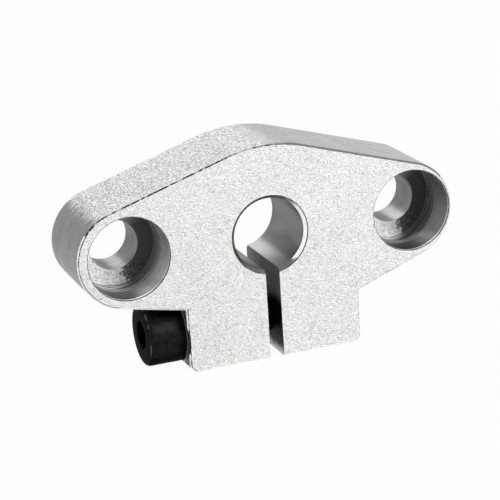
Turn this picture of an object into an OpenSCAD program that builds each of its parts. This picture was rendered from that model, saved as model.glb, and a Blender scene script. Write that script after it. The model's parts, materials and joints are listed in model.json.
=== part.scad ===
// Shaft support block: a flat two-bolt flange with a split foot, closed on its shaft by one cap screw.
// The shaft runs along Y through the origin. +Z is up, the front face looks towards -Y, and the back
// face, towards +Y, is the one that is bolted down. Sizes are in millimetres.

/* [Block] */
// Width over the two wings
block_w = 43; // [42:0.5:48]
// Thickness along the shaft
block_t = 10; // [9:0.5:14]
// Height of the shaft's centre above the base
base_h = 14; // [13:0.5:18]
// Height of the crown above the shaft's centre
crown_h = 10; // [9:0.5:12]
// Radius of the crown
crown_r = 15; // [12:0.5:18]
// Radius of the wing ends
wing_r = 5.5; // [5.3:0.1:6.5]
// Slope of the left wing's underside, over the screw head, in degrees
left_slope = 11.5; // [8:0.5:14]
// Slope of the right wing's underside, in degrees
right_slope = 20; // [14:0.5:24]
// Width of the foot
foot_w = 20; // [18:0.5:22]
// Radius of the foot's lower corners
foot_corner_r = 1; // [0.5:0.1:1.5]
// Radius in the corner between the right wing and the foot
root_r = 0.5; // [0.3:0.1:1]
// Width of the broken edge round both faces
edge_break = 0.2; // [0.1:0.05:0.3]

/* [Shaft bore] */
// Diameter of the shaft
shaft_d = 8; // [5:0.5:9]
// Chamfer at both ends of the bore
bore_chamfer = 0.4; // [0.2:0.1:0.6]
// Width of the clamping slot under the bore
slot_w = 1.6; // [1:0.1:2]

/* [Mounting holes] */
// Distance from a wing's end to the middle of its mounting hole, before the shift
hole_inset = 5.25; // [5.2:0.05:5.75]
// Distance that the pair of holes sits to the right of the block's middle
hole_shift = 0.4; // [0:0.1:0.4]
// Diameter of the through holes
hole_d = 5.5; // [4.5:0.1:6]
// Diameter of the recesses for the bolt heads
recess_d = 9; // [8:0.1:9.2]
// Depth of the recesses for the bolt heads
recess_depth = 5.7; // [4:0.1:6.5]
// Chamfer at the mouth of each recess
recess_chamfer = 0.1; // [0.05:0.05:0.15]

/* [Clamp screw] */
// Thread diameter
screw_d = 4; // [3:0.5:4]
// Length under the head
screw_length = 16; // [14:0.5:18]
// Diameter of the head
head_d = 7; // [6:0.1:7.2]
// Height of the head
head_h = 4; // [3:0.1:4.5]
// Width across the flats of the hexagon socket
socket_af = 3; // [2:0.1:3.2]
// Depth of the hexagon socket
socket_depth = 2; // [1.5:0.1:2.5]
// Gap between the head and the surface that the block stands on
head_lift = 0.05; // [0.05:0.05:0.3]
// Diameter of the spotface that the head seats on
spotface_d = 10.1; // [9:0.05:10.5]
// Depth of the spotface into the foot
spotface_depth = 0.25; // [0.1:0.05:0.6]
// Play round the screw in the left jaw, on the diameter
jaw_play = 0.5; // [0.2:0.1:0.8]
// Running clearance between the screw and its threaded hole, on the radius
thread_play = 0.05; // [0.02:0.01:0.08]

/* [Hidden] */
$fn = 96;

aluminium = "#d9d9d7";
black_oxide = "#1c1c1e";

// How far the sloping flanks lie inside the arcs, so that the solids cross instead of just touching
flank_inset = 0.005;
// How far a cutter runs past the face it opens
overcut = 1;

wing_x = block_w / 2 - wing_r;
crown_z = crown_h - crown_r;
hole_xs = [hole_inset + hole_shift - block_w / 2, block_w / 2 - hole_inset + hole_shift];
foot_x = foot_w / 2;
foot_corner_x = foot_x - foot_corner_r;
foot_corner_z = foot_corner_r - base_h;
seat_x = spotface_depth - foot_x;
screw_z = head_d / 2 + head_lift - base_h;
head_chamfer = head_d * 0.04;
tip_chamfer = screw_d / 8;

// Direction of the upper flanks' outward normal, which touches a wing end and the crown alike
flank_a = atan2(-crown_z, wing_x) + acos((crown_r - wing_r) / norm([wing_x, crown_z]));

// Point at the end of a radius r drawn from the centre c at the angle a
function on_arc(c, r, a) = [c.x + r * cos(a), c.y + r * sin(a)];
// Height of a wing's underside at the foot, for an underside of that slope
function root_z(slope) = -wing_r / cos(slope) - (wing_x - foot_x) * tan(slope);

// The wings' outline without its round ends and crown, drawn with +Z as Y
wing_flanks = concat(
    [for (a = [right_slope - 90, flank_a]) on_arc([wing_x, 0], wing_r - flank_inset, a)],
    [for (a = [flank_a, 180 - flank_a]) on_arc([0, crown_z], crown_r - flank_inset, a)],
    [for (a = [180 - flank_a, 270 - left_slope]) on_arc([-wing_x, 0], wing_r - flank_inset, a)],
    [[-foot_x, root_z(left_slope)], [foot_x, root_z(right_slope)]]
);

// The foot's outline without its round corners, up to the shaft's centre
foot_flanks = [
    [-foot_x, 0],
    [-foot_x, foot_corner_z],
    [-foot_corner_x, -base_h],
    [foot_corner_x, -base_h],
    [foot_x, foot_corner_z],
    [foot_x, 0]
];

// A plate of the block's thickness over a convex outline, with its edges broken
module broken_plate(outline) {
    hull() {
        linear_extrude(block_t - 2 * edge_break, center = true) polygon(outline);
        linear_extrude(block_t, center = true) offset(delta = -edge_break) polygon(outline);
    }
}

// A disc of the block's thickness with its edges broken
module broken_disc(r) {
    h = block_t / 2;
    b = edge_break;
    rotate_extrude() polygon([[0, -h], [r - b, -h], [r, b - h], [r, h - b], [r - b, h], [0, h]]);
}

module wings() {
    broken_plate(wing_flanks);
    for (x = [-wing_x, wing_x]) translate([x, 0]) broken_disc(wing_r);
    intersection() {
        translate([0, crown_z]) broken_disc(crown_r);
        crown_sector();
    }
}

// The wedge between the two radii where the crown meets the flanks
module crown_sector() {
    reach = 2 * crown_r;
    linear_extrude(block_t + overcut, center = true) polygon([
        [0, crown_z],
        on_arc([0, crown_z], reach, flank_a),
        on_arc([0, crown_z], reach, 180 - flank_a)
    ]);
}

module foot() {
    broken_plate(foot_flanks);
    for (x = [-foot_corner_x, foot_corner_x]) translate([x, foot_corner_z]) broken_disc(foot_corner_r);
}

// The rounded corner between the right wing's underside and the foot
module root_fillet() {
    corner = [foot_x, root_z(right_slope)];
    half_turn = (90 + right_slope) / 2;
    run = root_r / tan(half_turn);
    centre = on_arc(corner, root_r / sin(half_turn), right_slope - half_turn);
    inside = on_arc(corner, root_r, right_slope - half_turn + 180);
    linear_extrude(block_t - 2 * edge_break, center = true) difference() {
        polygon([inside, on_arc(corner, run, -90), on_arc(corner, run, right_slope)]);
        translate(centre) circle(r = root_r + flank_inset);
    }
}

// A hole from face to face, with its mouth towards the front opened to a recess
module mounting_hole() {
    floor_z = block_t / 2 - recess_depth;
    cylinder(d = hole_d, h = block_t + overcut, center = true);
    translate([0, 0, floor_z]) cylinder(d = recess_d, h = recess_depth + overcut);
    mouth(recess_d, recess_chamfer);
}

// A 45 degree chamfer round a hole's mouth in the front face
module mouth(d, chamfer) {
    r = d / 2 + chamfer;
    translate([0, 0, block_t / 2 - chamfer]) cylinder(r1 = d / 2, r2 = r + overcut, h = chamfer + overcut);
}

module shaft_bore() {
    cylinder(d = shaft_d, h = block_t + overcut, center = true);
    for (turn = [0, 180]) rotate([turn, 0, 0]) mouth(shaft_d, bore_chamfer);
}

module clamping_slot() {
    translate([-slot_w / 2, -base_h - overcut, -block_t])
        cube([slot_w, base_h + overcut, 2 * block_t]);
}

// The clamp screw's clearance hole, threaded hole and spotface, along the screw's axis
module screw_bores() {
    translate([0, screw_z, 0]) rotate([0, 90, 0]) {
        translate([0, 0, -foot_x - overcut]) cylinder(d = screw_d + jaw_play, h = foot_x + overcut);
        cylinder(d = screw_d + 2 * thread_play, h = foot_x + overcut);
        translate([0, 0, -block_w]) cylinder(d = spotface_d, h = block_w + seat_x);
    }
}

module support_block() {
    color(aluminium) rotate([90, 0, 0]) difference() {
        union() {
            wings();
            foot();
            root_fillet();
        }
        shaft_bore();
        clamping_slot();
        for (x = hole_xs) translate([x, 0]) mounting_hole();
        screw_bores();
    }
}

module clamp_screw() {
    r = screw_d / 2;
    color(black_oxide) translate([seat_x, 0, screw_z]) rotate([0, 90, 0]) difference() {
        rotate_extrude() polygon([
            [0, -head_h],
            [head_d / 2 - head_chamfer, -head_h],
            [head_d / 2, head_chamfer - head_h],
            [head_d / 2, 0],
            [r, 0],
            [r, screw_length - tip_chamfer],
            [r - tip_chamfer, screw_length],
            [0, screw_length]
        ]);
        translate([0, 0, -head_h - overcut])
            cylinder(d = socket_af / cos(30), h = socket_depth + overcut, $fn = 6);
    }
}

support_block();
clamp_screw();
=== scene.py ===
"""Finishes, screw thread and studio stage for a shaft support block."""

import json
import math

import bmesh
import bpy
from bpy.props import FloatProperty, FloatVectorProperty, IntProperty, PointerProperty
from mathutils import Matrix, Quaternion, Vector


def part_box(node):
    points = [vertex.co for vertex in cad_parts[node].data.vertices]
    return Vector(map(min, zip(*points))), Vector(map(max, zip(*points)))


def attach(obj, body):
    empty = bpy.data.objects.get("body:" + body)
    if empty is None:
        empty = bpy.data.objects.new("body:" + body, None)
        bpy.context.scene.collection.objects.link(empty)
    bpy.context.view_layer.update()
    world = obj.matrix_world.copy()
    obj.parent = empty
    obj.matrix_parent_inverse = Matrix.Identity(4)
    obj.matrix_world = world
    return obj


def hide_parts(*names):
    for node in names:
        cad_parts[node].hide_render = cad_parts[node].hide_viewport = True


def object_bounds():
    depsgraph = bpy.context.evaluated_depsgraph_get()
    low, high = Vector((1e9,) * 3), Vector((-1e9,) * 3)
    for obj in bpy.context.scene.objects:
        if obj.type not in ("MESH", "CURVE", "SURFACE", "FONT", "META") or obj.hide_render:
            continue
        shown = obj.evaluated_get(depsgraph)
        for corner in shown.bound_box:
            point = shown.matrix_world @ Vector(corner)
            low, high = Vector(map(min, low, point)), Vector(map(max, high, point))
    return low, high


bl_info = {
    "name": "Shaft Support Block",
    "version": (1, 0, 0),
    "blender": (4, 5, 0),
    "location": "View3D > Sidebar > Support Block",
    "description": "Dresses a split aluminium shaft support and its clamp screw, and sets up their stage",
    "category": "Object",
}

MM = 0.001
MATH = "ShaderNodeMath"
VECTOR_MATH = "ShaderNodeVectorMath"

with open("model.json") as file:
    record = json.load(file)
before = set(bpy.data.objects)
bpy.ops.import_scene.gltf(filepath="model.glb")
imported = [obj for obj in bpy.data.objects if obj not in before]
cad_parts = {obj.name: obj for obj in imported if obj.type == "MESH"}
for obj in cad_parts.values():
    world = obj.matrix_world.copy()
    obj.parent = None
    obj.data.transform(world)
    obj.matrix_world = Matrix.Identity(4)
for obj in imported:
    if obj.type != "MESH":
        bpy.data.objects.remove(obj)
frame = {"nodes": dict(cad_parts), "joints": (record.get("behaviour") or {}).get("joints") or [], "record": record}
cad_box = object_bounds()

MOUNTS = {mount["name"]: mount for mount in frame["record"]["mounts"]}
BORE_R = MOUNTS["shaft_bore"]["dims"]["r_mm"] * MM
HOLE_R = MOUNTS["mounting_holes"]["dims"]["hole_r_mm"] * MM
HOLE_PITCH = MOUNTS["mounting_holes"]["dims"]["spacing_x_mm"] * MM
HOLE_MIDDLE = MOUNTS["mounting_holes"]["pos_m"][0]
HOLE_XS = (HOLE_MIDDLE - HOLE_PITCH / 2, HOLE_MIDDLE + HOLE_PITCH / 2)
SCREW_SEAT = Vector(frame["joints"][0]["pos_m"])
SCREW_AXIS = (0, SCREW_SEAT.y, SCREW_SEAT.z)
BLOCK_LOW, BLOCK_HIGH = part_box("support_block")
SCREW_LOW, SCREW_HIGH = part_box("clamp_screw")

# Sizes of the block's cuts, which tell its surfaces apart
RECESS_R = 4.5 * MM
SPOTFACE_R = 5.05 * MM
BORE_CHAMFER = 0.4 * MM
SLOT_HALF = 0.8 * MM
FOOT_HALF = 10 * MM
FOOT_TOP = -8.6 * MM
SHANK_R = 2 * MM
SCREW_HOLE_R = 2 * MM
HEAD_R = 3.5 * MM
HEAD_CHAMFER = 0.28 * MM
NEAR = 0.06 * MM

# How squarely a flat face looks along an axis at least, the same for the left jaw's side where it starts
# to turn into the foot's corner, and how far a broken edge is turned to the faces
SQUARE = 0.95
JAW_SQUARE = 0.9
SLANTED = 0.5

# Depths under the faces at which the painted shade line, its heavier kind on the upper edges and the recesses' lip
# end
SHADE_LINE_DEPTH = 0.09 * MM
UPPER_SHADE_LINE_DEPTH = 0.13 * MM
LIP_DEPTH = 0.35 * MM
# How far up a broken edge looks at least: where the painted shade line is drawn, and where the upper edges'
# painted light and shade begin
SHADE_LINE_LOWEST = -0.68
UPPER_EDGE = 0.42
# How the faces on the rim of the screw's head look along X, how far out the edges lie that are rounded
# there, as a share of its radius, and how sharp they are at least
RIM_LOWEST = -0.97
RIM_HIGHEST = -0.75
RIM_SHARE = 0.85
RIM_ANGLE = math.radians(30)

# Points closer than this become one, as do faces this close in direction, and a thread ends this sharply
MERGE = 0.0005 * MM
SAME_WAY = math.radians(0.5)
HAIR = 0.0001 * MM
THREAD_SIDES = 64
THREAD_PITCH = 0.7 * MM


# ---------------- settings and nodes


def linear(hex_colour):
    """An sRGB colour such as '#c8c8c6' as linear red, green, blue and alpha."""
    channels = [int(hex_colour[i : i + 2], 16) / 255 for i in (1, 3, 5)]
    return [c / 12.92 if c <= 0.04045 else ((c + 0.055) / 1.055) ** 2.4 for c in channels] + [1.0]


def length_setting(name, description, length):
    """A length that a user can change, with its default in metres."""
    return FloatProperty(name=name, description=description, default=length, unit="LENGTH")


def colour_setting(name, description, hex_colour):
    """A colour that a user can change, with its default."""
    return FloatVectorProperty(
        name=name, description=description, subtype="COLOR", size=4, min=0, max=1, default=linear(hex_colour)
    )


def add_node(tree, kind, inputs=None, **settings):
    """Adds a node with its settings. Each input is a value, or an output socket to link from."""
    node = tree.nodes.new(kind)
    for name, value in settings.items():
        setattr(node, name, value)
    for key, value in (inputs or {}).items():
        if isinstance(value, bpy.types.NodeSocket):
            tree.links.new(value, node.inputs[key])
        else:
            node.inputs[key].default_value = value
    return node


def empty_tree(owner):
    """The node tree of a material or a world, with nothing in it yet."""
    owner.use_nodes = True
    owner.node_tree.nodes.clear()
    return owner.node_tree


def start_metal(name, roughness, metallic, mirror=0.5, tint="#ffffff"):
    """A new material with a metal shader. The mirror and tint set its highlights at its own sockets."""
    material = bpy.data.materials.new(name)
    tree = empty_tree(material)
    shader = add_node(
        tree,
        "ShaderNodeBsdfPrincipled",
        {
            "Roughness": roughness,
            "Metallic": metallic,
            "Specular IOR Level": mirror,
            "Specular Tint": linear(tint),
        },
    )
    add_node(tree, "ShaderNodeOutputMaterial", {"Surface": shader.outputs["BSDF"]})
    return material, tree, shader


def place(tree, axis=None):
    """Where a point lies on the object, in metres, or how far along one axis."""
    spot = add_node(tree, "ShaderNodeTexCoord").outputs["Object"]
    if axis is None:
        return spot
    return add_node(tree, "ShaderNodeSeparateXYZ", {"Vector": spot}).outputs[axis]


def grain(tree, size_mm, detail=2.0, roughness=0.5, distortion=0.0):
    """Random grain of that size in millimetres, or of a size along each axis, from 0 to 1."""
    sizes = size_mm if isinstance(size_mm, tuple) else (size_mm,) * 3
    scale = [1 / (size * MM) for size in sizes]
    stretched = add_node(tree, "ShaderNodeMapping", {"Vector": place(tree), "Scale": scale})
    return add_node(
        tree,
        "ShaderNodeTexNoise",
        {
            "Vector": stretched.outputs["Vector"],
            "Scale": 1.0,
            "Detail": detail,
            "Roughness": roughness,
            "Distortion": distortion,
        },
    ).outputs["Fac"]


def paint(tree, value, low, high, first, second):
    """Passes from the first colour to the second as a value goes from low to high."""
    share = add_node(
        tree,
        "ShaderNodeMapRange",
        {"Value": value, "From Min": low, "From Max": high},
        interpolation_type="SMOOTHSTEP",
    )
    inputs = {0: share.outputs["Result"], 6: first, 7: second}
    return add_node(tree, "ShaderNodeMix", inputs, data_type="RGBA").outputs[2]


def shift(tree, value, amount, by):
    """A value pushed up or down by a pattern, which is worth that amount from end to end."""
    centred = add_node(tree, MATH, {0: by, 1: 0.5}, operation="SUBTRACT").outputs[0]
    return add_node(tree, MATH, {0: centred, 1: amount, 2: value}, operation="MULTIPLY_ADD").outputs[0]


def dress(tree, shader, colour, height, depth_mm, strength=1.0):
    """Gives a metal its colour, and raises a pattern of that depth on it."""
    relief = {"Height": height, "Strength": strength, "Distance": depth_mm * MM}
    bump = add_node(tree, "ShaderNodeBump", relief)
    tree.links.new(colour, shader.inputs["Base Color"])
    tree.links.new(bump.outputs["Normal"], shader.inputs["Normal"])


def from_axis(tree, x=0.0):
    """The way from the axis of a bore along Y, at that X, to a point."""
    centre = add_node(tree, "ShaderNodeCombineXYZ", {"X": x}).outputs[0]
    away = add_node(tree, VECTOR_MATH, {0: place(tree), 1: centre}, operation="SUBTRACT").outputs[0]
    return add_node(tree, VECTOR_MATH, {0: away, 1: (1, 0, 1)}, operation="MULTIPLY").outputs[0]


def from_nearest_hole(tree):
    """The way from the axis of the nearer mounting hole to a point."""
    side = add_node(tree, MATH, {0: place(tree, "X"), 1: HOLE_MIDDLE}, operation="GREATER_THAN")
    centre = {0: side.outputs[0], 1: HOLE_PITCH, 2: HOLE_XS[0]}
    centre = add_node(tree, MATH, centre, operation="MULTIPLY_ADD").outputs[0]
    return from_axis(tree, centre)


def off_screw(tree):
    """How far a point is from the screw's axis, in metres."""
    away = add_node(tree, VECTOR_MATH, {0: place(tree), 1: SCREW_AXIS}, operation="SUBTRACT").outputs[0]
    across = add_node(tree, VECTOR_MATH, {0: away, 1: (0, 1, 1)}, operation="MULTIPLY").outputs[0]
    return add_node(tree, VECTOR_MATH, {0: across}, operation="LENGTH").outputs["Value"]


def facing(tree, way, degrees):
    """How well a way agrees with a direction, 0 being right and 90 up: from -1 to 1."""
    turn = math.radians(degrees)
    unit = add_node(tree, VECTOR_MATH, {0: way}, operation="NORMALIZE").outputs[0]
    aim = (math.cos(turn), 0, math.sin(turn))
    return add_node(tree, VECTOR_MATH, {0: unit, 1: aim}, operation="DOT_PRODUCT").outputs["Value"]


def arcs(tree, way, width_mm, length):
    """Random arcs round an axis: that wide, and as long as a share of the radius."""
    radius = add_node(tree, VECTOR_MATH, {0: way}, operation="LENGTH").outputs["Value"]
    unit = add_node(tree, VECTOR_MATH, {0: way}, operation="NORMALIZE").outputs[0]
    turn = add_node(tree, VECTOR_MATH, {0: unit, "Scale": 1 / length}, operation="SCALE").outputs[0]
    ring = add_node(tree, MATH, {0: radius, 1: 1 / (width_mm * MM)}, operation="MULTIPLY").outputs[0]
    lift = add_node(tree, "ShaderNodeCombineXYZ", {"Y": ring}).outputs[0]
    spot = add_node(tree, VECTOR_MATH, {0: turn, 1: lift}, operation="ADD").outputs[0]
    return add_node(tree, "ShaderNodeTexNoise", {"Vector": spot, "Scale": 1.0, "Detail": 3.0}).outputs["Fac"]


# ---------------- finishes of the block


# Tints of the highlights on machined aluminium and on black oxide
MACHINED_TINT = "#bcbcbc"
OXIDE_TINT = "#606060"
# Height of a surface that has no pattern
FLAT = (0.5, 0.5, 0.5, 1)
# Along X, where the blasted slope passes into the ground one, where it ends on the left wing, whose end is
# painted in shade, and how ragged that end is. The broken edges over them change a little further right.
CROWN_BLEND = (-2.5 * MM, 3 * MM)
WING_BLEND = (-19.9 * MM, -18.7 * MM)
WING_RAGGED = 3.0 * MM
CROWN_EDGE_BLEND = (-1.5 * MM, 3 * MM)
WING_EDGE_BLEND = (-19.4 * MM, -18.4 * MM)
# Along X, where the left recess's grey passes into the right one's darker, painted shade, and along Y, where the
# rings begin
RECESS_BLEND = (-5 * MM, 5 * MM)
RING_BLEND = (-2.8 * MM, -0.8 * MM)
RING_RELIEF_BLEND = (-3.2 * MM, -0.6 * MM)
# The lighter foot of the slot along Z, as painted light, and how far from the screw's axis the painted shadow
# reaches
SLOT_FOOT_LIGHT_BLEND = (-13.6 * MM, -12.4 * MM)
SLOT_SHADOW_BLEND = (2.2 * MM, 3.6 * MM)


def blasted_aluminium(settings):
    """Bead-blasted aluminium: near white and even, with a fine worm-like grain.

    The beads leave dents of about 0.05 mm, and the grain is drawn about six times as coarse to show.
    """
    material, tree, shader = start_metal("blasted_aluminium", roughness=0.5, metallic=0.5)
    dents = grain(tree, settings.grain_mm, detail=2.0, roughness=0.6, distortion=1.6)
    depth = shift(tree, dents, 0.12, grain(tree, 5.0))
    colour = paint(tree, depth, 0.3, 0.54, settings.dent_colour, settings.face_colour)
    dress(tree, shader, colour, dents, depth_mm=0.12)
    return material


def ground_aluminium(settings):
    """The extruded outline. A belt has ground it, which leaves soft streaks along the outline on the right.

    The blast has caught the left slope, which is speckled up to a ragged end on the left wing. The left slope
    is lighter than the right partly as painted light, and the wing's end is darker as painted shade.
    """
    material, tree, shader = start_metal("ground_aluminium", roughness=0.36, metallic=0.5, mirror=0.3)
    across = place(tree, "X")
    dents = grain(tree, 0.24, detail=3.0, roughness=0.65, distortion=0.8)
    scratches = grain(tree, (2.5, 0.3, 2.5), detail=3.0, roughness=0.6)
    patches = grain(tree, (2.4, 2.0, 2.4), detail=3.0, roughness=0.6)
    bands = shift(tree, patches, 0.5, grain(tree, (4.0, 0.9, 4.0), detail=2.0))
    ground = shift(tree, scratches, 1.2, dents)
    ground = paint(tree, ground, 0.3, 0.7, settings.scratch_colour, settings.flank_colour)
    wing = paint(tree, bands, 0.2, 0.8, settings.wing_shade_colour, settings.band_colour)
    blasted = paint(tree, dents, 0.36, 0.6, settings.speckle_colour, settings.slope_colour)
    tufts = grain(tree, (1.6, 0.5, 1.6), detail=3.0, roughness=0.6)
    ragged = shift(tree, across, WING_RAGGED, tufts)
    # The left slope, lighter in part as painted light
    slopes = paint(tree, across, *CROWN_BLEND, blasted, ground)
    # Painted shade on the left wing's end
    colour = paint(tree, ragged, *WING_BLEND, wing, slopes)
    height = paint(tree, across, *CROWN_BLEND, dents, FLAT)
    height = paint(tree, ragged, *WING_BLEND, FLAT, height)
    dress(tree, shader, colour, height, depth_mm=0.16)
    return material


def reamed_aluminium(settings):
    """A reamed bore: smooth and darker than the faces, with soft clouds.

    Low down it is lighter at the back, as painted light, and darker at the front, as painted shade.
    """
    material, tree, shader = start_metal(
        "reamed_aluminium", roughness=0.3, metallic=0.6, mirror=0.2, tint=MACHINED_TINT
    )
    clouds = grain(tree, (2.6, 9.0, 2.6), detail=1.0)
    rings = grain(tree, (20.0, 0.25, 20.0), detail=2.0)
    clouds = shift(tree, clouds, 0.08, rings)
    colour = paint(tree, clouds, 0.34, 0.66, settings.bore_colour, settings.bore_light)
    depth = place(tree, "Y")
    low = facing(tree, from_axis(tree), -80)
    slant = 0.08 / MM
    behind = add_node(tree, MATH, {0: depth, 1: slant, 2: low}, operation="MULTIPLY_ADD").outputs[0]
    ahead = add_node(tree, MATH, {0: depth, 1: -slant, 2: low}, operation="MULTIPLY_ADD").outputs[0]
    # Painted light low at the back of the bore, then painted shade low at its front
    colour = paint(tree, behind, 0.6, 1.4, colour, settings.bore_low_light)
    colour = paint(tree, ahead, 0.8, 1.3, colour, settings.rim_shade_colour)
    dress(tree, shader, colour, rings, depth_mm=0.01, strength=0.3)
    return material


def milled_aluminium(settings):
    """Walls of the recesses, cut with an end mill: grey and brushed, with tool rings near the floor painted bright
    as highlights.

    Painted light makes them lightest on the right, with painted shade elsewhere, and painted shade makes the right
    recess darker than the left one.
    """
    material, tree, shader = start_metal(
        "milled_aluminium", roughness=0.42, metallic=0.7, mirror=0.2, tint="#dcdcdc"
    )
    way = from_nearest_hole(tree)
    rings = grain(tree, (7.0, 0.24, 7.0), detail=3.0, roughness=0.65)
    depth = shift(tree, place(tree, "Y"), 1.0 * MM, grain(tree, 2.0))
    # Painted shade: the right recess darker than the left one
    lit = paint(tree, place(tree, "X"), *RECESS_BLEND, settings.milled_light_colour, settings.flank_colour)
    # Painted light on the right of each wall, painted shade elsewhere
    wall = paint(tree, facing(tree, way, 5), -0.1, 0.85, settings.milled_shade_and_streaks, lit)
    brushed = grain(tree, (0.5, 2.0, 0.5), detail=3.0, roughness=0.7)
    wall = paint(tree, shift(tree, rings, 0.5, brushed), -0.3, 0.9, settings.milled_shade_and_streaks, wall)
    # Painted highlights on the tool rings near the floor
    ringed = paint(tree, rings, 0.5, 0.6, wall, settings.ring_highlight_colour)
    colour = paint(tree, depth, *RING_BLEND, wall, ringed)
    height = paint(tree, depth, *RING_RELIEF_BLEND, FLAT, rings)
    dress(tree, shader, colour, height, depth_mm=0.1)
    return material


def faced_aluminium(settings):
    """Floors of the recesses, cut with the end mill's tip, which left arcs and torn specks.

    The arcs lie bright towards the lower left as painted light, with the specks beside them, and the rest is dark
    as painted shade, lighter towards the top.
    """
    material, tree, shader = start_metal("faced_aluminium", roughness=0.34, metallic=0.5, mirror=0.2)
    way = from_nearest_hole(tree)
    lower_left = facing(tree, way, 226)
    specks = grain(tree, 0.22, detail=3.0, roughness=0.6)
    cuts = arcs(tree, way, width_mm=0.14, length=0.1)
    # Painted light on the arcs towards the lower left
    bright = paint(tree, cuts, 0.38, 0.6, settings.lit_between_cuts, settings.lit_cut_colour)
    torn = shift(tree, specks, 0.16, lower_left)
    # Painted shade over the rest of the floor, with torn specks
    dark = paint(tree, torn, 0.46, 0.68, settings.floor_painted_shade, settings.floor_speck)
    edge = shift(tree, lower_left, 0.5, grain(tree, 0.4, detail=3.0))
    upper = paint(tree, facing(tree, way, 100), 0.4, 0.95, dark, settings.floor_speck)
    colour = paint(tree, edge, 0.45, 0.62, upper, bright)
    dress(tree, shader, colour, specks, depth_mm=0.06, strength=0.7)
    return material


def drilled_aluminium(settings):
    """Drilled holes: smooth mid grey, with faint soft rings."""
    material, tree, shader = start_metal(
        "drilled_aluminium", roughness=0.34, metallic=0.6, mirror=0.2, tint=MACHINED_TINT
    )
    rings = grain(tree, (3.0, 1.6, 3.0), detail=2.0)
    colour = paint(tree, rings, 0.35, 0.65, settings.drilled_shade, settings.drilled_colour)
    dress(tree, shader, colour, rings, depth_mm=0.01, strength=0.2)
    return material


def tapped_aluminium(settings):
    """The tapped hole and the clearance hole for the screw: dull, with a trace of oil."""
    material, tree, shader = start_metal(
        "tapped_aluminium", roughness=0.4, metallic=0.6, mirror=0.2, tint=MACHINED_TINT
    )
    traces = grain(tree, (3.0, 0.6, 0.6), detail=3.0)
    colour = paint(tree, traces, 0.35, 0.65, settings.slot_shade, settings.drilled_shade)
    dress(tree, shader, colour, traces, depth_mm=0.02, strength=0.4)
    return material


def sawn_aluminium(settings):
    """The slot's walls, cut with a slitting saw: dull and streaked, with painted light at the foot and black
    painted shadow by the screw.
    """
    material, tree, shader = start_metal("sawn_aluminium", roughness=0.5, metallic=0.4, mirror=0.2)
    streaks = grain(tree, (3.0, 2.4, 0.3), detail=3.0, roughness=0.6)
    colour = paint(tree, streaks, 0.35, 0.65, settings.slot_shade, settings.slot_colour)
    # Painted light at the slot's foot
    colour = paint(tree, place(tree, "Z"), *SLOT_FOOT_LIGHT_BLEND, settings.edge_colour, colour)
    height = add_node(tree, MATH, {0: place(tree, "Z"), 1: SCREW_SEAT.z}, operation="SUBTRACT").outputs[0]
    away = add_node(tree, MATH, {0: height}, operation="ABSOLUTE").outputs[0]
    shadow_reach = shift(tree, away, 1.0 * MM, grain(tree, 1.2))
    # Painted shadow beside the screw
    colour = paint(tree, shadow_reach, *SLOT_SHADOW_BLEND, settings.slot_shadow_colour, colour)
    dress(tree, shader, colour, streaks, depth_mm=0.03, strength=0.5)
    return material


def spotfaced_aluminium(settings):
    """The jaw's side under the screw head, spotfaced: dark grey, in part as painted shade, with a painted
    highlight ring round the head.
    """
    material, tree, shader = start_metal("spotfaced_aluminium", roughness=0.4, metallic=0.5, mirror=0.2)
    scuffs = grain(tree, 0.4, detail=3.0, roughness=0.6)
    highlight_ring = {0: off_screw(tree), 1: HEAD_R + HEAD_CHAMFER, 2: NEAR}
    ring = add_node(tree, MATH, highlight_ring, operation="COMPARE").outputs[0]
    colour = paint(tree, scuffs, 0.36, 0.66, settings.spotface_shade, settings.spotface_colour)
    # Painted highlight: a thin bright ring round the head
    colour = paint(tree, shift(tree, ring, 0.9, scuffs), 0.75, 1.0, colour, settings.edge_colour)
    dress(tree, shader, colour, scuffs, depth_mm=0.03, strength=0.5)
    return material


def deburred_aluminium(settings):
    """Edges broken with a deburring tool: bright and smooth, and a little uneven."""
    material, tree, shader = start_metal("deburred_aluminium", roughness=0.42, metallic=0.85)
    wear = grain(tree, 0.5)
    colour = paint(tree, wear, 0.3, 0.5, settings.edge_shade, settings.edge_colour)
    dress(tree, shader, colour, wear, depth_mm=0.03, strength=0.4)
    return material


def lip_light_and_shade(settings):
    """The chamfer at the bore's mouth: a painted highlight on the right, and painted shade elsewhere, darker low
    down.
    """
    material, tree, shader = start_metal("lip_light_and_shade", roughness=0.25, metallic=0.9)
    wear = grain(tree, 0.5)
    side = facing(tree, from_axis(tree), -3)
    # Painted shade on the lip, darker low down
    dull = paint(tree, place(tree, "Z"), -0.5 * BORE_R, 0, settings.edge_painted_shade, settings.flank_colour)
    # Painted highlight on the right of the lip
    colour = paint(tree, shift(tree, side, 0.3, wear), 0.58, 0.76, dull, settings.edge_colour)
    dress(tree, shader, colour, wear, depth_mm=0.03, strength=0.3)
    return material


def upper_edge_shading(settings):
    """Upper broken edges of the outline: bright on the left, and darker on the right as painted shade."""
    material, tree, shader = start_metal("upper_edge_shading", roughness=0.36, metallic=0.5, mirror=0.2)
    wear = grain(tree, 0.4)
    left = paint(tree, wear, 0.35, 0.6, settings.slope_colour, settings.face_colour)
    # Painted shade on the right upper edges
    right = paint(tree, wear, 0.35, 0.65, settings.edge_painted_shade, settings.wing_shade_colour)
    colour = paint(tree, place(tree, "X"), *CROWN_EDGE_BLEND, left, right)
    # Painted shade on the left wing's end
    colour = paint(tree, place(tree, "X"), *WING_EDGE_BLEND, settings.wing_shade_colour, colour)
    dress(tree, shader, colour, wear, depth_mm=0.03, strength=0.4)
    return material


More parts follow.
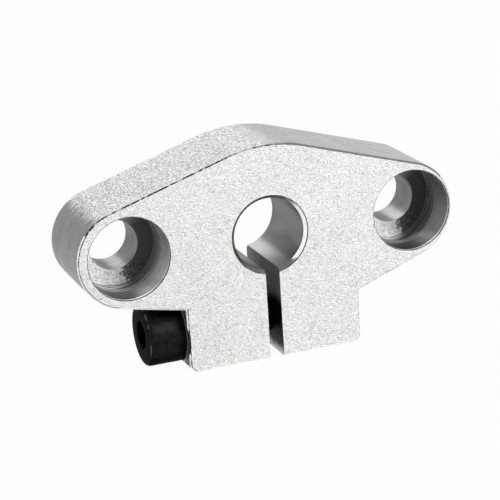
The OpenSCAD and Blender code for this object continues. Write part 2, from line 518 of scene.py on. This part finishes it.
def outline_shade_line(settings):
    """Painted shade along the outline where the faces meet the broken edges: a thin dark line.

    It is black and broken over the left slope and along the left jaw, even and grey over the right slope
    and under the left wing, broken and grey under the right wing and jaw, and faint elsewhere.
    """
    material, tree, shader = start_metal("outline_shade_line", roughness=0.5, metallic=0.4, mirror=0.1)
    across = place(tree, "X")
    up = place(tree, "Z")
    gaps = grain(tree, 0.7, detail=3.0, roughness=0.6)
    strong = paint(tree, gaps, 0.48, 0.56, settings.shade_line_colour, settings.flank_colour)
    even = paint(tree, gaps, 0.3, 0.7, settings.edge_painted_shade, settings.wing_shade_colour)
    faint = paint(tree, gaps, 0.34, 0.56, settings.wing_shade_colour, settings.face_colour)
    broken = paint(tree, gaps, 0.46, 0.54, settings.edge_painted_shade, settings.face_colour)
    crown = (-0.5 * MM, 2.5 * MM)
    half_height = (-2.5 * MM, 0)
    left_jaw = (-9.7 * MM, -9 * MM)
    right_jaw = (9 * MM, 9.3 * MM)
    left_root = (-7.2 * MM, -6.8 * MM)
    upper = paint(tree, across, *crown, strong, even)
    lower = paint(tree, across, *right_jaw, faint, broken)
    left = paint(tree, up, *left_root, strong, even)
    lower = paint(tree, across, *left_jaw, left, lower)
    colour = paint(tree, up, *half_height, lower, upper)
    dress(tree, shader, colour, gaps, depth_mm=0.05, strength=0.5)
    return material


def rim_shade_line(settings):
    """The lip round the bore and the recesses: a thin dark ring of painted shade, broken in places."""
    material, tree, shader = start_metal("rim_shade_line", roughness=0.5, metallic=0.4, mirror=0.1)
    gaps = grain(tree, 0.8, detail=3.0, roughness=0.6)
    colour = paint(tree, gaps, 0.42, 0.7, settings.rim_shade_colour, settings.wing_shade_colour)
    dress(tree, shader, colour, gaps, depth_mm=0.05, strength=0.5)
    return material


# The finish of each kind of surface, in the order of the material slots
FINISHES = {
    "face": blasted_aluminium,
    "outline": ground_aluminium,
    "bore": reamed_aluminium,
    "bore lip": lip_light_and_shade,
    "recess": milled_aluminium,
    "floor": faced_aluminium,
    "hole": drilled_aluminium,
    "screw hole": tapped_aluminium,
    "slot": sawn_aluminium,
    "spotface": spotfaced_aluminium,
    "edge": deburred_aluminium,
    "upper edge": upper_edge_shading,
    "shade line": outline_shade_line,
    "rim": rim_shade_line,
}


def rim_highlight_oxide(settings):
    """The rim of the screw's head: a grey line on the black oxide, as a painted highlight."""
    material, tree, shader = start_metal(
        "rim_highlight_oxide", roughness=0.3, metallic=0.85, mirror=0.1, tint=OXIDE_TINT
    )
    wear = grain(tree, 0.7, detail=3.0)
    colour = paint(tree, wear, 0.46, 0.6, settings.oxide_colour, settings.rim_highlight_colour)
    dress(tree, shader, colour, wear, depth_mm=0.01, strength=0.4)
    return material


def black_oxide_steel(settings):
    """Steel with an oiled black oxide finish: nearly black, with a soft sheen where its edges turn."""
    material, tree, shader = start_metal(
        "black_oxide_steel", roughness=0.34, metallic=0.85, mirror=0.1, tint=OXIDE_TINT
    )
    mottle = grain(tree, 0.6, detail=3.0)
    colour = paint(tree, mottle, 0.3, 0.7, settings.oxide_shade, settings.oxide_colour)
    dress(tree, shader, colour, mottle, depth_mm=0.01, strength=0.4)
    return material


# ---------------- meshes


def merged(data):
    """A bmesh of mesh data, in which points that lie together have become one."""
    mesh = bmesh.new()
    mesh.from_mesh(data)
    bmesh.ops.remove_doubles(mesh, verts=mesh.verts, dist=MERGE)
    return mesh


def whole_copy(node_name):
    """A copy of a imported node's mesh with its loose triangles joined and its flat faces made whole."""
    mesh = merged(frame["nodes"][node_name].data)
    bmesh.ops.dissolve_limit(
        mesh, angle_limit=SAME_WAY, verts=mesh.verts, edges=mesh.edges, delimit={"NORMAL"}
    )
    return mesh


def finished_mesh(mesh, name, sharp_angle=25):
    """Mesh data from a bmesh, shaded smooth up to an angle in degrees."""
    data = bpy.data.meshes.new(name)
    mesh.to_mesh(data)
    mesh.free()
    if "custom_normal" in data.attributes:
        data.attributes.remove(data.attributes["custom_normal"])
    data.polygons.foreach_set("use_smooth", [True] * len(data.polygons))
    data.set_sharp_from_angle(angle=math.radians(sharp_angle))
    return data


def in_scene(name, data):
    """A new object in the scene, made of a mesh, a lamp or a camera."""
    thing = bpy.data.objects.new(name, data)
    bpy.context.scene.collection.objects.link(thing)
    return thing


def new_piece(name, data, body, node_name):
    """Puts a finished mesh in a node's place, on the body that it moves with."""
    piece = in_scene(name, data)
    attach(piece, body)
    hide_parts(node_name)
    return piece


# ---------------- thread

THREAD_LENGTHS = ("Pitch", "Depth", "Radius", "Closing radius", "Start", "End")
THREAD_INPUTS = {
    **dict.fromkeys(THREAD_LENGTHS, "NodeSocketFloat"),
    "Axis": "NodeSocketVector",
    "Segments": "NodeSocketInt",
    "Material": "NodeSocketMaterial",
}
# Where the crest starts and ends and where the root starts and ends, as shares of the pitch
THREAD_CORNERS = (0.0, 0.125, 0.4375, 0.6875)
CORNERS = len(THREAD_CORNERS)
# In pitches, what the helix has to spare, how much of that comes before the start, and the run-out
THREAD_SPARE = 3.0
THREAD_LEAD = 2.0
THREAD_RUN_OUT = 1.5


def thread_grid(tree, given):
    """A flat grid with a row for every corner of every turn, and how many rows it has."""
    length = add_node(tree, MATH, {0: given["End"], 1: given["Start"]}, operation="SUBTRACT").outputs[0]
    pitches = add_node(tree, MATH, {0: length, 1: given["Pitch"]}, operation="DIVIDE").outputs[0]
    pitches = add_node(tree, MATH, {0: pitches, 1: THREAD_SPARE}, operation="ADD").outputs[0]
    turns = add_node(tree, MATH, {0: pitches}, operation="CEIL").outputs[0]
    rows = add_node(tree, MATH, {0: turns, 1: CORNERS}, operation="MULTIPLY").outputs[0]
    row_points = add_node(tree, MATH, {0: rows, 1: 1}, operation="ADD").outputs[0]
    columns = add_node(tree, MATH, {0: given["Segments"], 1: 1}, operation="ADD").outputs[0]
    size = {"Size X": rows, "Size Y": 1.0, "Vertices X": row_points, "Vertices Y": columns}
    return add_node(tree, "GeometryNodeMeshGrid", size).outputs["Mesh"], rows


def thread_spot(tree, rows):
    """Which row a point is in, which turn and which corner that is, and its share of the way round."""
    position = add_node(tree, "GeometryNodeInputPosition").outputs[0]
    spot = add_node(tree, "ShaderNodeSeparateXYZ", {"Vector": position}).outputs
    row = add_node(tree, MATH, {0: rows, 1: 0.5, 2: spot["X"]}, operation="MULTIPLY_ADD").outputs[0]
    row = add_node(tree, MATH, {0: row}, operation="ROUND").outputs[0]
    share = add_node(tree, MATH, {0: spot["Y"], 1: 0.5}, operation="ADD").outputs[0]
    turn = add_node(tree, MATH, {0: row, 1: CORNERS}, operation="DIVIDE").outputs[0]
    turn = add_node(tree, MATH, {0: turn}, operation="FLOOR").outputs[0]
    corner = add_node(tree, MATH, {0: turn, 1: -CORNERS, 2: row}, operation="MULTIPLY_ADD").outputs[0]
    return row, turn, corner, share


def thread_reach(tree, given, turn, corner, share):
    """How far along the axis a point of the helix lies, held between the thread's start and end."""
    phase = add_node(tree, "GeometryNodeIndexSwitch", data_type="FLOAT")
    while len(phase.index_switch_items) < CORNERS:
        phase.index_switch_items.new()
    tree.links.new(corner, phase.inputs[0])
    for socket, value in zip(list(phase.inputs)[1:], THREAD_CORNERS):
        socket.default_value = value
    start = given["Start"]
    lead = add_node(tree, MATH, {0: share, 1: THREAD_LEAD}, operation="SUBTRACT").outputs[0]
    helix = add_node(tree, MATH, {0: turn, 1: phase.outputs[0]}, operation="ADD").outputs[0]
    helix = add_node(tree, MATH, {0: helix, 1: lead}, operation="ADD").outputs[0]
    helix = {0: helix, 1: given["Pitch"], 2: start}
    helix = add_node(tree, MATH, helix, operation="MULTIPLY_ADD").outputs[0]
    helix = add_node(tree, MATH, {0: helix, 1: start}, operation="MAXIMUM").outputs[0]
    return add_node(tree, MATH, {0: helix, 1: given["End"]}, operation="MINIMUM").outputs[0]


def thread_radius(tree, given, along, corner):
    """How far from the axis a point is: the root lies deeper, but not past the end or at the run-out."""
    start = given["Start"]
    full = {0: given["Pitch"], 1: THREAD_RUN_OUT, 2: start}
    full = add_node(tree, MATH, full, operation="MULTIPLY_ADD").outputs[0]
    run_out = {"Value": along, "From Min": start, "From Max": full}
    run_out = add_node(tree, "ShaderNodeMapRange", run_out).outputs["Result"]
    last_cut = add_node(tree, MATH, {0: given["End"], 1: HAIR}, operation="SUBTRACT").outputs[0]
    is_cut = add_node(tree, MATH, {0: along, 1: last_cut}, operation="LESS_THAN").outputs[0]
    is_root = add_node(tree, MATH, {0: corner, 1: 1.5}, operation="GREATER_THAN").outputs[0]
    depth = add_node(tree, MATH, {0: is_cut, 1: is_root}, operation="MULTIPLY").outputs[0]
    depth = add_node(tree, MATH, {0: depth, 1: run_out}, operation="MULTIPLY").outputs[0]
    depth = add_node(tree, MATH, {0: depth, 1: given["Depth"]}, operation="MULTIPLY").outputs[0]
    return add_node(tree, MATH, {0: given["Radius"], 1: depth}, operation="SUBTRACT").outputs[0]


def thread_closed(tree, given, rows, row, radius, along):
    """The same radius and reach, except that the first row and the last two close the ring."""
    rows_left = add_node(tree, MATH, {0: rows, 1: row}, operation="SUBTRACT").outputs[0]
    is_first = add_node(tree, MATH, {0: row, 1: 0.5}, operation="LESS_THAN").outputs[0]
    is_ending = add_node(tree, MATH, {0: rows_left, 1: 1.5}, operation="LESS_THAN").outputs[0]
    is_last = add_node(tree, MATH, {0: rows_left, 1: 0.5}, operation="LESS_THAN").outputs[0]
    closes = add_node(tree, MATH, {0: is_first, 1: is_ending}, operation="MAXIMUM").outputs[0]
    radius = {0: closes, 2: radius, 3: given["Closing radius"]}
    radius = add_node(tree, "ShaderNodeMix", radius, data_type="FLOAT").outputs[0]
    along = {0: is_last, 2: along, 3: given["Start"]}
    along = add_node(tree, "ShaderNodeMix", along, data_type="FLOAT").outputs[0]
    return radius, along


def thread_cutter(tree, given):
    """The cutter: the grid bent into a ring round the axis, with its faces outwards."""
    grid, rows = thread_grid(tree, given)
    row, turn, corner, share = thread_spot(tree, rows)
    along = thread_reach(tree, given, turn, corner, share)
    radius = thread_radius(tree, given, along, corner)
    radius, along = thread_closed(tree, given, rows, row, radius, along)
    angle = add_node(tree, MATH, {0: share, 1: math.tau}, operation="MULTIPLY").outputs[0]
    cosine = add_node(tree, MATH, {0: angle}, operation="COSINE").outputs[0]
    sine = add_node(tree, MATH, {0: angle}, operation="SINE").outputs[0]
    y = add_node(tree, MATH, {0: radius, 1: cosine}, operation="MULTIPLY").outputs[0]
    z = add_node(tree, MATH, {0: radius, 1: sine}, operation="MULTIPLY").outputs[0]
    point = add_node(tree, "ShaderNodeCombineXYZ", {"X": along, "Y": y, "Z": z}).outputs[0]
    point = add_node(tree, VECTOR_MATH, {0: point, 1: given["Axis"]}, operation="ADD").outputs[0]
    bent = add_node(tree, "GeometryNodeSetPosition", {"Geometry": grid, "Position": point}).outputs[0]
    joined = {"Geometry": bent, "Distance": HAIR}
    joined = add_node(tree, "GeometryNodeMergeByDistance", joined).outputs[0]
    inward = {0: given["Closing radius"], 1: given["Radius"]}
    inward = add_node(tree, MATH, inward, operation="LESS_THAN").outputs[0]
    return add_node(tree, "GeometryNodeFlipFaces", {"Mesh": joined, "Selection": inward}).outputs[0]


def thread_tree():
    """Geometry Nodes that cut a thread round an axis along X, into a shaft or into the wall of a hole.

    The cutter's rows follow the thread's corners along a helix. Its first and last rows lie at the closing
    radius, on the side that isn't cut.
    """
    tree = bpy.data.node_groups.new("cut_thread", "GeometryNodeTree")
    tree.interface.new_socket("Geometry", in_out="INPUT", socket_type="NodeSocketGeometry")
    for name, kind in THREAD_INPUTS.items():
        tree.interface.new_socket(name, in_out="INPUT", socket_type=kind)
    tree.interface.new_socket("Geometry", in_out="OUTPUT", socket_type="NodeSocketGeometry")
    given = add_node(tree, "NodeGroupInput").outputs
    threaded = add_node(
        tree,
        "GeometryNodeMeshBoolean",
        {"Mesh 1": given["Geometry"], "Mesh 2": thread_cutter(tree, given)},
        operation="DIFFERENCE",
        solver="MANIFOLD",
    ).outputs["Mesh"]
    real = add_node(tree, "GeometryNodeRealizeInstances", {"Geometry": threaded}).outputs[0]
    done = {"Geometry": real, "Material": given["Material"]}
    done = add_node(tree, "GeometryNodeSetMaterial", done).outputs[0]
    add_node(tree, "NodeGroupOutput", {"Geometry": done})
    return tree


def cut_thread(data, sizes):
    """Cuts a thread into a closed mesh with the Geometry Nodes above, and gives the new mesh."""
    blank = in_scene("thread_blank", data)
    modifier = blank.modifiers.new("thread", "NODES")
    modifier.node_group = bpy.data.node_groups.get("cut_thread") or thread_tree()
    for item in modifier.node_group.interface.items_tree:
        if item.in_out == "INPUT" and item.name in sizes:
            modifier[item.identifier] = sizes[item.name]
    bpy.context.view_layer.update()
    evaluated = blank.evaluated_get(bpy.context.evaluated_depsgraph_get())
    threaded = bpy.data.meshes.new_from_object(evaluated)
    blank.modifiers.remove(modifier)
    bpy.data.objects.remove(blank)
    if len(threaded.polygons) <= len(data.polygons):
        raise RuntimeError("the thread left its blank as it was")
    return threaded


# ---------------- shaping


def finish_at(centre, normal):
    """Which of the block's finishes a face has, from where it lies and which way it looks."""
    hole_gap = min(math.hypot(centre.x - x, centre.z) for x in HOLE_XS)
    bore_gap = math.hypot(centre.x, centre.z)
    screw_gap = math.hypot(centre.y, centre.z - SCREW_SEAT.z)
    under_face = min(centre.y - BLOCK_LOW.y, BLOCK_HIGH.y - centre.y)
    across = abs(normal.y)
    if across > SQUARE:
        return "face" if under_face < NEAR / 2 else "floor"
    if hole_gap < HOLE_R + NEAR:
        return "hole"
    if hole_gap < RECESS_R + 3 * NEAR and is_hollow(centre, normal, HOLE_XS):
        # A thin band at the mouth gets the painted shade ring
        if across > SLANTED and under_face < SHADE_LINE_DEPTH:
            return "rim"
        return "edge" if under_face < LIP_DEPTH else "recess"
    if bore_gap < BORE_R + BORE_CHAMFER + NEAR and is_hollow(centre, normal, (0,)):
        if across < SLANTED:
            return "bore"
        return "rim" if under_face < SHADE_LINE_DEPTH else "bore lip"
    if screw_gap < SPOTFACE_R / 2 and abs(normal.x) < SQUARE:
        return "screw hole"
    if abs(centre.x) < SLOT_HALF + NEAR and centre.z < 0:
        return "slot"
    is_upper = normal.z > UPPER_EDGE
    shade_line_depth = UPPER_SHADE_LINE_DEPTH if is_upper else SHADE_LINE_DEPTH
    # A thin band next to each face gets the painted shade line
    if across > SLANTED and under_face < shade_line_depth and normal.z > SHADE_LINE_LOWEST:
        return "shade line"
    if across > SLANTED:
        return "upper edge" if is_upper else "edge"
    if normal.x < -JAW_SQUARE and centre.x > BLOCK_LOW.x / 2 and centre.z < -RECESS_R:
        return "spotface"
    if screw_gap < SPOTFACE_R + NEAR and centre.x < SCREW_SEAT.x + NEAR:
        return "edge"
    on_foot = abs(centre.x) < FOOT_HALF + NEAR and centre.z < FOOT_TOP
    return "face" if on_foot else "outline"


def is_hollow(centre, normal, axes):
    """Whether a face looks towards the nearest of some axes along Y, as the wall of a bore does."""
    x = min(axes, key=lambda axis: abs(centre.x - axis))
    return normal.x * (centre.x - x) + normal.z * centre.z < 0


def split_edges(mesh, depths):
    """Cuts the mesh at some depths under both flat faces, to tell the lines on its edges apart."""
    for depth in depths:
        for y, way in ((BLOCK_LOW.y, 1), (BLOCK_HIGH.y, -1)):
            bmesh.ops.bisect_plane(
                mesh,
                geom=[*mesh.verts, *mesh.edges, *mesh.faces],
                plane_co=(0, y + way * depth, 0),
                plane_no=(0, 1, 0),
                dist=2 * MERGE,
            )


def round_head(mesh, radius):
    """Rounds the rim of the screw's head, at both ends of its chamfer."""
    end = SCREW_LOW.x + HEAD_CHAMFER + NEAR
    rim = []
    for edge in mesh.edges:
        middle = (edge.verts[0].co + edge.verts[1].co) / 2
        radius_here = math.hypot(middle.y, middle.z - SCREW_SEAT.z)
        is_sharp = edge.calc_face_angle(0) > RIM_ANGLE
        if middle.x < end and radius_here > HEAD_R * RIM_SHARE and is_sharp:
            rim.append(edge)
    bmesh.ops.bevel(
        mesh, geom=rim, offset=radius, offset_type="OFFSET", segments=3, profile=0.5, affect="EDGES"
    )


# ---------------- what a user can change


class BlockSettings(bpy.types.PropertyGroup):
    """Sizes and colours of the block's finishes."""

    grain_mm: FloatProperty(name="Grain", description="Grain size in millimetres", default=0.3, min=0.05)
    tap_pitch: length_setting("Tap pitch", "Pitch of the tapped hole", THREAD_PITCH)
    tap_depth: length_setting("Tap depth", "Depth of the tapped groove", 0.28 * MM)
    face_colour: colour_setting("Face", "The blasted faces", "#e6e6e4")
    dent_colour: colour_setting("Dents", "Dents in the blasted faces", "#c0c0be")
    # Lighter in part as painted light
    slope_colour: colour_setting("Slope", "Outline, left of the middle", "#f2f2f0")
    speckle_colour: colour_setting("Speckle", "Dents in the left slope", "#90908e")
    flank_colour: colour_setting("Flank", "Outline, right of the middle", "#c2c2c0")
    scratch_colour: colour_setting("Scratches", "Scratches along the outline", "#989896")
    # Painted shade on the left wing's end
    wing_shade_colour: colour_setting("Wing end", "Outline round the left wing's end", "#828280")
    band_colour: colour_setting("Bands", "Lighter bands round the left wing's end", "#9c9c9a")
    bore_colour: colour_setting("Bore", "The reamed bore", "#747472")
    bore_light: colour_setting("Bore clouds", "Lighter clouds in the bore", "#989896")
    # Painted light, low in the bore at the back
    bore_low_light: colour_setting("Bore low", "The bore, low down at the back", "#989896")
    # Painted light and shade on the recess walls, and painted highlights on their rings
    milled_light_colour: colour_setting("Milled", "Walls of the recesses, on the right", "#ffffff")
    milled_shade_and_streaks: colour_setting("Milled shade", "Walls of the recesses, elsewhere", "#545452")
    ring_highlight_colour: colour_setting("Rings", "Bright rings near the recess floors", "#f4f4f2")
    # Painted light and shade on the recess floors
    lit_cut_colour: colour_setting("Cuts", "Arcs on the recess floors", "#ffffff")
    lit_between_cuts: colour_setting("Cut shade", "Between the arcs", "#d0d0ce")
    floor_painted_shade: colour_setting("Floor shade", "The dark part of the recess floors", "#494948")
    floor_speck: colour_setting("Specks", "Torn specks on the recess floors", "#989896")
    drilled_colour: colour_setting("Drilled", "The drilled holes", "#9a9a98")
    drilled_shade: colour_setting("Drilled shade", "Rings in the drilled holes", "#868684")
    slot_colour: colour_setting("Slot", "The slot's walls", "#949492")
    slot_shade: colour_setting("Slot shade", "Streaks on the slot's walls", "#80807e")
    # Painted shadow on the slot's walls beside the screw
    slot_shadow_colour: colour_setting("Slot shadow", "Painted shadow on the slot's walls beside the screw", "#0c0c0c")
    # Dark grey, in part as painted shade
    spotface_colour: colour_setting("Spotface", "The jaw's side under the head", "#8a8a88")
    spotface_shade: colour_setting("Scuffs", "Scuffs on the jaw's side", "#484847")
    edge_colour: colour_setting("Edge", "The broken edges", "#ffffff")
    edge_shade: colour_setting("Edge wear", "Wear on the broken edges", "#dededc")
    # Painted shade on the right upper edges, the bore's lip and the shade lines
    edge_painted_shade: colour_setting("Edge shade", "The right upper edges, and gaps in the burr", "#6c6c6a")
    # Painted shade: the thin line along the outline
    shade_line_colour: colour_setting("Shade line", "The burr along the outline", "#1c1c1c")
    # Painted shade: the thin ring round the bores, and the bore's front low down
    rim_shade_colour: colour_setting("Rims", "The lips round the bores", "#3a3a3a")


class ScrewSettings(bpy.types.PropertyGroup):
    """Sizes and colours of the clamp screw."""

    pitch: length_setting("Pitch", "Thread pitch", THREAD_PITCH)
    depth: length_setting("Depth", "Thread depth", 0.41 * MM)
    plain: length_setting("Plain", "Plain length under the head", 0.8 * MM)
    segments: IntProperty(
        name="Segments", description="Sides of the thread's round", default=THREAD_SIDES, min=12
    )
    rim: length_setting("Rim", "Radius of the head's rim", 0.14 * MM)
    oxide_colour: colour_setting("Oxide", "The black oxide", "#232324")
    oxide_shade: colour_setting("Oxide shade", "Darker patches of the oxide", "#19191a")
    rim_highlight_colour: colour_setting("Rim highlight", "Painted highlight on the head's rim", "#5c5c5c")


class StageSettings(bpy.types.PropertyGroup):
    """Light, floor and camera."""

    azimuth: FloatProperty(
        name="Azimuth", description="Camera azimuth", default=math.radians(-19.84), subtype="ANGLE"
    )
    elevation: FloatProperty(
        name="Elevation", description="Camera elevation", default=math.radians(17.79), subtype="ANGLE"
    )
    roll: FloatProperty(name="Roll", description="Camera roll", default=math.radians(-3.634), subtype="ANGLE")
    distance: length_setting("Distance", "Camera to the point it looks at", 225.22 * MM)
    lens: FloatProperty(name="Lens", description="Focal length", default=148.19, unit="CAMERA")
    key_power: FloatProperty(name="Key", description="Key lamp", default=2.0, min=0, unit="POWER")
    back_power: FloatProperty(name="Back", description="Lamp behind", default=0.4, min=0, unit="POWER")
    fill: FloatProperty(name="Fill", description="Strength of the even light all round", default=0.15, min=0)
    floor_colour: colour_setting("Floor", "The floor", "#ffffff")


# ---------------- the two pieces


class SUPPORT_OT_block(bpy.types.Operator):
    """Dress the split block: blasted faces, ground outline, machined bore, recesses, slot and tapped hole"""

    bl_idname = "support.block"
    bl_label = "Block"

    def execute(self, context):
        settings = context.scene.support_block
        names = list(FINISHES)
        blank = finished_mesh(whole_copy("support_block"), "block_blank")
        tapped = cut_thread(
            blank,
            {
                "Pitch": settings.tap_pitch,
                "Depth": -settings.tap_depth,
                "Radius": SCREW_HOLE_R,
                "Closing radius": SCREW_HOLE_R / 2,
                "Start": SLOT_HALF - settings.tap_pitch,
                "End": FOOT_HALF + settings.tap_pitch,
                "Axis": SCREW_AXIS,
                "Segments": THREAD_SIDES,
            },
        )
        mesh = merged(tapped)
        split_edges(mesh, (SHADE_LINE_DEPTH, UPPER_SHADE_LINE_DEPTH, LIP_DEPTH))
        for face in mesh.faces:
            face.material_index = names.index(finish_at(face.calc_center_median(), face.normal))
        data = finished_mesh(mesh, "block")
        for make in FINISHES.values():
            data.materials.append(make(settings))
        new_piece("block", data, "block", "support_block")
        return {"FINISHED"}


class SUPPORT_OT_clamp_screw(bpy.types.Operator):
    """Make the clamp screw that draws the foot's jaws together: rounded head, rolled thread, black oxide"""

    bl_idname = "support.clamp_screw"
    bl_label = "Clamp screw"

    def execute(self, context):
        settings = context.scene.support_screw
        mesh = whole_copy("clamp_screw")
        round_head(mesh, settings.rim)
        finish = black_oxide_steel(settings)
        threaded = cut_thread(
            finished_mesh(mesh, "screw_blank"),
            {
                "Pitch": settings.pitch,
                "Depth": settings.depth,
                "Radius": SHANK_R + NEAR / 2,
                "Closing radius": 1.3 * SHANK_R,
                "Start": SCREW_SEAT.x + settings.plain,
                "End": SCREW_HIGH.x + settings.pitch,
                "Axis": SCREW_AXIS,
                "Segments": settings.segments,
                "Material": finish,
            },
        )
        mesh = merged(threaded)
        for face in mesh.faces:
            centre = face.calc_center_median()
            radius = math.hypot(centre.y, centre.z - SCREW_SEAT.z)
            on_rim = centre.x < SCREW_LOW.x + 2 * HEAD_CHAMFER and radius > HEAD_R - 2 * HEAD_CHAMFER
            # Faces on the head's rim get the painted highlight
            face.material_index = int(on_rim and RIM_LOWEST < face.normal.x < RIM_HIGHEST)
        data = finished_mesh(mesh, "screw", sharp_angle=35)
        data.materials.append(finish)
        data.materials.append(rim_highlight_oxide(settings))
        new_piece("screw", data, "screw", "clamp_screw")
        return {"FINISHED"}


# ---------------- stage


# Lamps, floor and the point that the camera looks at, in metres
KEY_SPOT = (0.25, -0.375, 0.225)
KEY_SIZE = 0.25
BACK_SPOT = (0.02, 0.35, 0.24)
BACK_SIZE = 0.2
FLOOR_HALF = 2.0
CAMERA_AIM = Vector((-0.61, 0.0, -3.0)) * MM
# How much of the floor is plain white, where it is seen directly. The rest keeps the shadow.
FLOOR_WHITE = 0.97
WHITE = (1, 1, 1, 1)


def seen_directly(tree):
    """1 for rays that come from the camera, a mirror or a clear body, and 0 for the light on the object."""
    ray = add_node(tree, "ShaderNodeLightPath").outputs
    first_two = {0: ray["Is Camera Ray"], 1: ray["Is Glossy Ray"]}
    first_two = add_node(tree, MATH, first_two, operation="MAXIMUM").outputs[0]
    all_three = {0: first_two, 1: ray["Is Transmission Ray"]}
    return add_node(tree, MATH, all_three, operation="MAXIMUM").outputs[0]


def background_world(context, settings):
    """White wherever it is seen or mirrored, and a soft even fill everywhere else."""
    world = bpy.data.worlds.new("studio")
    context.scene.world = world
    tree = empty_tree(world)
    seen = seen_directly(tree)
    fill = add_node(tree, "ShaderNodeBackground", {"Strength": settings.fill, "Color": WHITE})
    white = add_node(tree, "ShaderNodeBackground", {"Strength": 1.0, "Color": WHITE})
    mixed = add_node(tree, "ShaderNodeMixShader", {0: seen, 1: fill.outputs[0], 2: white.outputs[0]})
    add_node(tree, "ShaderNodeOutputWorld", {"Surface": mixed.outputs[0]})


def pale_floor(settings):
    """A floor under the foot that reads as white and keeps a faint shadow."""
    material = bpy.data.materials.new("studio_floor")
    tree = empty_tree(material)
    share = add_node(tree, MATH, {0: seen_directly(tree), 1: FLOOR_WHITE}, operation="MULTIPLY").outputs[0]
    matt = add_node(tree, "ShaderNodeBsdfDiffuse", {"Color": settings.floor_colour}).outputs[0]
    white = add_node(tree, "ShaderNodeEmission", {"Color": WHITE, "Strength": 1.0}).outputs[0]
    mixed = add_node(tree, "ShaderNodeMixShader", {0: share, 1: matt, 2: white}).outputs[0]
    add_node(tree, "ShaderNodeOutputMaterial", {"Surface": mixed})
    mesh = bmesh.new()
    bmesh.ops.create_grid(mesh, x_segments=1, y_segments=1, size=FLOOR_HALF)
    bmesh.ops.translate(mesh, verts=mesh.verts, vec=(0, 0, cad_box[0].z))
    data = finished_mesh(mesh, "floor")
    data.materials.append(material)
    floor = in_scene("floor", data)


def softbox(name, spot, size, power):
    """A square lamp that faces the object and isn't seen itself."""
    lamp = bpy.data.lights.new(name, "AREA")
    lamp.size = size
    lamp.energy = power
    holder = in_scene(name, lamp)
    holder.location = spot
    holder.rotation_mode = "QUATERNION"
    holder.rotation_quaternion = Vector(spot).to_track_quat("Z", "Y")
    holder.visible_camera = False


def studio_camera(context, settings):
    """A long lens a little above the block and to its left."""
    data = bpy.data.cameras.new("camera")
    data.lens = settings.lens
    data.sensor_width = 36
    data.clip_start = 0.01
    data.clip_end = 10
    camera = in_scene("camera", data)
    turn, rise = settings.azimuth, settings.elevation
    back = Vector((math.sin(turn) * math.cos(rise), -math.cos(turn) * math.cos(rise), math.sin(rise)))
    camera.location = CAMERA_AIM + back * settings.distance
    camera.rotation_mode = "QUATERNION"
    camera.rotation_quaternion = back.to_track_quat("Z", "Y") @ Quaternion((0, 0, 1), settings.roll)
    context.scene.camera = camera


class SUPPORT_OT_stage(bpy.types.Operator):
    """Set up the floor, the light and the camera"""

    bl_idname = "support.stage"
    bl_label = "Stage"

    def execute(self, context):
        settings = context.scene.support_stage
        background_world(context, settings)
        pale_floor(settings)
        softbox("key", KEY_SPOT, KEY_SIZE, settings.key_power)
        softbox("back", BACK_SPOT, BACK_SIZE, settings.back_power)
        studio_camera(context, settings)
        context.scene.view_settings.view_transform = "Standard"
        return {"FINISHED"}


# ---------------- panel


class SUPPORT_PT_panel(bpy.types.Panel):
    """Buttons for the stage, the block and the screw"""

    bl_idname = "SUPPORT_PT_panel"
    bl_label = "Support Block"
    bl_space_type = "VIEW_3D"
    bl_region_type = "UI"
    bl_category = "Support Block"

    def draw(self, context):
        for operator in OPERATORS:
            self.layout.operator(operator.bl_idname)


OPERATORS = (SUPPORT_OT_stage, SUPPORT_OT_block, SUPPORT_OT_clamp_screw)
SETTINGS = {"support_block": BlockSettings, "support_screw": ScrewSettings, "support_stage": StageSettings}


def register():
    for kind in (*SETTINGS.values(), *OPERATORS, SUPPORT_PT_panel):
        bpy.utils.register_class(kind)
    for name, kind in SETTINGS.items():
        setattr(bpy.types.Scene, name, PointerProperty(type=kind))


def unregister():
    for name in SETTINGS:
        delattr(bpy.types.Scene, name)
    for kind in reversed((*SETTINGS.values(), *OPERATORS, SUPPORT_PT_panel)):
        bpy.utils.unregister_class(kind)


def main():
    register()
    bpy.ops.support.stage()
    bpy.ops.support.block()
    bpy.ops.support.clamp_screw()


if __name__ == "__main__":
    main()
